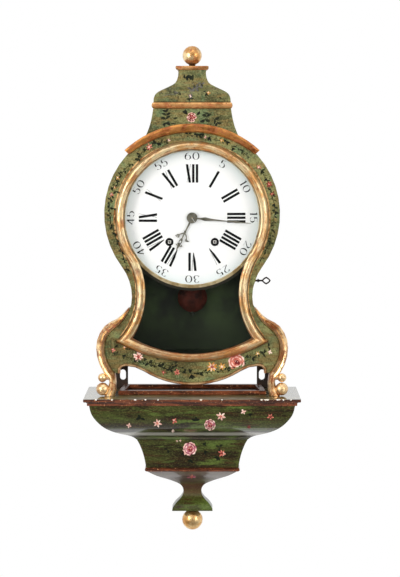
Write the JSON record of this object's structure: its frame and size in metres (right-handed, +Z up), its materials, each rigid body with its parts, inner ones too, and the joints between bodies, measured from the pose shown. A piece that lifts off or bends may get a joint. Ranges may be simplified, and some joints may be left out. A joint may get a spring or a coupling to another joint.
{
  "type": "bracket clock",
  "caption": "Waisted painted wall clock with gilt mouldings, round enamel dial, glazed hinged door, pendulum and wheel train, standing on a matching moulded wall bracket.",
  "frame": {"origin": "on the flat rear face of the bracket's back board, in the wall plane, on the clock's middle line, 60 mm under the top of the shelf", "axes": "+X to the viewer's right, +Y into the wall, +Z up; the dial faces -Y"},
  "size_m": [0.4, 0.19, 0.9225],
  "materials": {
    "painted_green": "green painted and varnished wood",
    "painted_bracket": "dark green painted and varnished wood",
    "red_brown": "dark red-brown painted wood",
    "gilt": "water gilt carved wood, worn",
    "bare_wood": "bare wood",
    "inside_paint": "dark painted wood",
    "brass": "polished brass",
    "hand_brass": "dull pierced brass",
    "bell_metal": "cast bell metal",
    "copper": "dark coppered brass",
    "steel": "bright steel",
    "iron": "dark iron",
    "enamel": "white vitreous enamel",
    "glass": "clear glass"
  },
  "bodies": {
    "case": {"case_front_board": "painted_green", "case_left_side": "painted_green", "case_right_side": "painted_green", "pediment_base": "painted_green", "pediment_top": "painted_green", "hinge_pin_upper": "painted_green", "hinge_pin_lower": "painted_green", "bracket_upper_body": "painted_bracket", "bracket_lower_body": "painted_bracket", "bracket_pendant": "painted_bracket", "bracket_shelf": "red_brown", "bracket_locating_frame": "red_brown", "bracket_band": "red_brown", "bracket_ball": "gilt", "apron_moulding": "gilt", "left_scroll_foot": "gilt", "right_scroll_foot": "gilt", "arch_moulding": "gilt", "pediment_band": "gilt", "pediment_cap": "gilt", "finial_ball": "gilt", "bracket_back_board": "bare_wood", "left_rear_foot": "bare_wood", "right_rear_foot": "bare_wood", "movement_seat": "bare_wood", "case_back_board": "inside_paint", "case_floor": "inside_paint", "lock_case": "brass", "key_escutcheon": "brass", "dial_rim": "brass", "front_plate": "brass", "back_plate": "brass", "suspension_cock": "brass", "bell": "bell_metal", "dial": "enamel"},
    "door": {"door_frame": "gilt", "door_glass": "glass", "door_hinge_eye_upper": "painted_green", "door_hinge_eye_lower": "painted_green", "door_catch": "brass"},
    "key": {"door_key": "iron"},
    "bolt": {"lock_bolt": "steel"},
    "minute_work": {"minute_hand": "hand_brass", "hand_collet": "hand_brass", "cannon_pinion": "steel"},
    "motion_wheel": {"minute_wheel": "brass"},
    "hour_work": {"hour_hand": "hand_brass", "hour_wheel": "brass"},
    "third": {"third_wheel": "brass"},
    "centre": {"centre_wheel": "brass"},
    "intermediate": {"intermediate_wheel": "brass"},
    "going_drum": {"going_barrel": "brass"},
    "escape": {"escape_wheel": "brass"},
    "strike_drum": {"strike_barrel": "brass"},
    "going_winder": {"going_winding_arbor": "steel"},
    "strike_winder": {"strike_winding_arbor": "steel"},
    "pendulum": {"pendulum_rod": "steel", "pendulum_bob": "copper"},
    "anchor": {"anchor_and_crutch": "steel"},
    "hammer": {"hammer": "steel"}
  },
  "joints": [
    {"name": "door_swing", "type": "hinge", "parent": "case", "child": "door", "pos_m": [-0.1465, -0.1465, 0.391], "axis": [0, 0, -1], "range_deg": [0, 100]},
    {"name": "key_turn", "type": "hinge", "parent": "case", "child": "key", "pos_m": [0.1155, -0.11, 0.273], "axis": [-1, 0, 0], "range_deg": [0, 90]},
    {"name": "bolt_slide", "type": "slide", "parent": "case", "child": "bolt", "axis": [0, 0, 1], "range_m": [0, 0.006]},
    {"name": "minute_turn", "type": "hinge", "parent": "case", "child": "minute_work", "pos_m": [0, 0, 0.391], "axis": [0, 1, 0], "continuous": true},
    {"name": "minute_wheel_turn", "type": "hinge", "parent": "case", "child": "motion_wheel", "pos_m": [-0.01358, 0, 0.40458], "axis": [0, 1, 0], "continuous": true},
    {"name": "hour_turn", "type": "hinge", "parent": "case", "child": "hour_work", "pos_m": [0, 0, 0.391], "axis": [0, 1, 0], "continuous": true},
    {"name": "third_turn", "type": "hinge", "parent": "case", "child": "third", "pos_m": [-0.00993, 0, 0.41829], "axis": [0, 1, 0], "continuous": true},
    {"name": "centre_turn", "type": "hinge", "parent": "case", "child": "centre", "pos_m": [0, 0, 0.391], "axis": [0, 1, 0], "continuous": true},
    {"name": "intermediate_turn", "type": "hinge", "parent": "case", "child": "intermediate", "pos_m": [0.02763, 0, 0.38096], "axis": [0, 1, 0], "continuous": true},
    {"name": "going_barrel_turn", "type": "hinge", "parent": "case", "child": "going_drum", "pos_m": [0.042, 0, 0.346], "axis": [0, 1, 0], "continuous": true},
    {"name": "escape_turn", "type": "hinge", "parent": "case", "child": "escape", "pos_m": [0, 0, 0.43914], "axis": [0, 1, 0], "continuous": true},
    {"name": "strike_barrel_turn", "type": "hinge", "parent": "case", "child": "strike_drum", "pos_m": [-0.042, 0, 0.346], "axis": [0, 1, 0], "continuous": true},
    {"name": "going_winding_turn", "type": "hinge", "parent": "case", "child": "going_winder", "pos_m": [0.042, 0, 0.346], "axis": [0, 1, 0], "continuous": true},
    {"name": "strike_winding_turn", "type": "hinge", "parent": "case", "child": "strike_winder", "pos_m": [-0.042, 0, 0.346], "axis": [0, 1, 0], "continuous": true},
    {"name": "pendulum_swing", "type": "hinge", "parent": "case", "child": "pendulum", "pos_m": [0, -0.032, 0.484], "axis": [0, 1, 0], "range_deg": [-3, 3]},
    {"name": "anchor_rock", "type": "hinge", "parent": "case", "child": "anchor", "pos_m": [0, -0.062, 0.484], "axis": [0, 1, 0], "range_deg": [-3, 3]},
    {"name": "hammer_lift", "type": "hinge", "parent": "case", "child": "hammer", "pos_m": [0.052, -0.06, 0.471], "axis": [0, 1, 0], "range_deg": [0, 15]}
  ],
  "couplings": [
    {"joint": "key_turn", "follows": "bolt_slide", "rad_per_m": 261.8},
    {"joint": "minute_wheel_turn", "follows": "minute_turn", "ratio": -0.33333},
    {"joint": "hour_turn", "follows": "minute_turn", "ratio": 0.083333},
    {"joint": "third_turn", "follows": "escape_turn", "ratio": -0.1},
    {"joint": "centre_turn", "follows": "escape_turn", "ratio": 0.01},
    {"joint": "intermediate_turn", "follows": "escape_turn", "ratio": -0.0016667},
    {"joint": "going_barrel_turn", "follows": "escape_turn", "ratio": 0.00027778},
    {"joint": "anchor_rock", "follows": "pendulum_swing", "ratio": 1}
  ]
}
